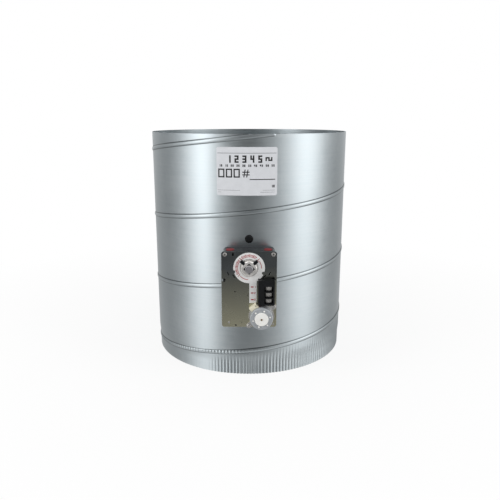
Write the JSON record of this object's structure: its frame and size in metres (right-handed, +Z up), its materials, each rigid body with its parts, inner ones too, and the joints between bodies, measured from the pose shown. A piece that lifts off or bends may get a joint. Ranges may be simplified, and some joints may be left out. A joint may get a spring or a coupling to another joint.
{
  "type": "motorized round damper",
  "caption": "Round spiral duct section with a disc blade on a cross shaft, turned by a geared motor actuator on its side.",
  "frame": {"origin": "on the duct's axis, in the plane of its lower, crimped rim", "axes": "+Z up along the air path to the plain end, -Y out of the front through the actuator, +X to the right as the front is seen"},
  "size_m": [0.3596, 0.4165, 0.4064],
  "materials": {
    "galvanised_steel": "satin",
    "black_rubber": "matt",
    "white_paper": "matt",
    "nylon": "satin",
    "dark_moulding": "satin",
    "red_plastic": "gloss",
    "zinc_plate": "bright",
    "bright_steel": "bright",
    "motor_grey": "satin",
    "white_plastic": "satin",
    "brass": "satin",
    "copper_winding": "gloss",
    "cream_plastic": "satin",
    "lead_insulation": "satin",
    "black_plastic": "satin",
    "grey_foam": "matt",
    "aluminium": "satin",
    "spring_steel": "dark",
    "cast_zinc": "bright",
    "black_oxide": "satin",
    "ferrite": "matt"
  },
  "bodies": {
    "root": {"duct_shell": "galvanised_steel", "hole_plug": "black_rubber", "data_label": "white_paper", "front_bush": "nylon", "rear_bush": "nylon", "actuator_housing": "dark_moulding", "port_plugs": "red_plastic", "mounting_studs": "zinc_plate", "mounting_nuts": "zinc_plate", "front_plate": "zinc_plate", "plate_eyelets": "bright_steel", "plate_rivets": "bright_steel", "dial_label": "white_paper", "gear_arbors": "bright_steel", "motor_flange": "zinc_plate", "motor_can": "motor_grey", "motor_cap": "white_plastic", "motor_centre_pin": "brass", "motor_stakes": "white_plastic", "motor_coil": "copper_winding", "motor_ear_rivets": "bright_steel", "coil_connector": "cream_plastic", "motor_leads": "lead_insulation", "terminal_block": "black_plastic", "terminal_clamps": "bright_steel", "terminal_screws": "bright_steel"},
    "blade": {"blade_shaft": "bright_steel", "blade_upper_skin": "galvanised_steel", "blade_lower_skin": "galvanised_steel", "blade_gasket": "grey_foam", "blade_rivets": "aluminium", "blade_bolts": "zinc_plate", "blade_nuts": "zinc_plate", "rear_washer": "zinc_plate", "retaining_ring": "spring_steel", "drive_hub": "cast_zinc", "hub_set_screws": "black_oxide", "sector_gear": "zinc_plate"},
    "second_gear": {"second_gear": "white_plastic"},
    "first_gear": {"first_gear": "white_plastic"},
    "rotor": {"rotor_pinion": "brass", "rotor_magnet": "ferrite"}
  },
  "joints": [
    {"name": "blade_turn", "type": "hinge", "parent": "root", "child": "blade", "pos_m": [0, -0.212, 0.2004], "axis": [0, -1, 0], "range_deg": [0, 90]},
    {"name": "second_gear_turn", "type": "hinge", "parent": "root", "child": "second_gear", "pos_m": [-0.00764, -0.212, 0.15707], "axis": [0, -1, 0], "range_deg": [-570.5, 0.5]},
    {"name": "first_gear_turn", "type": "hinge", "parent": "root", "child": "first_gear", "pos_m": [-0.00309, -0.212, 0.12742], "axis": [0, -1, 0], "range_deg": [-0.5, 2280.5]},
    {"name": "rotor_turn", "type": "hinge", "parent": "root", "child": "rotor", "pos_m": [0.0198, -0.212, 0.1202], "axis": [0, -1, 0], "range_deg": [-9120.5, 0.5]}
  ],
  "couplings": [
    {"joint": "second_gear_turn", "follows": "blade_turn", "ratio": -6.3333},
    {"joint": "first_gear_turn", "follows": "blade_turn", "ratio": 25.333},
    {"joint": "rotor_turn", "follows": "blade_turn", "ratio": -101.33}
  ]
}
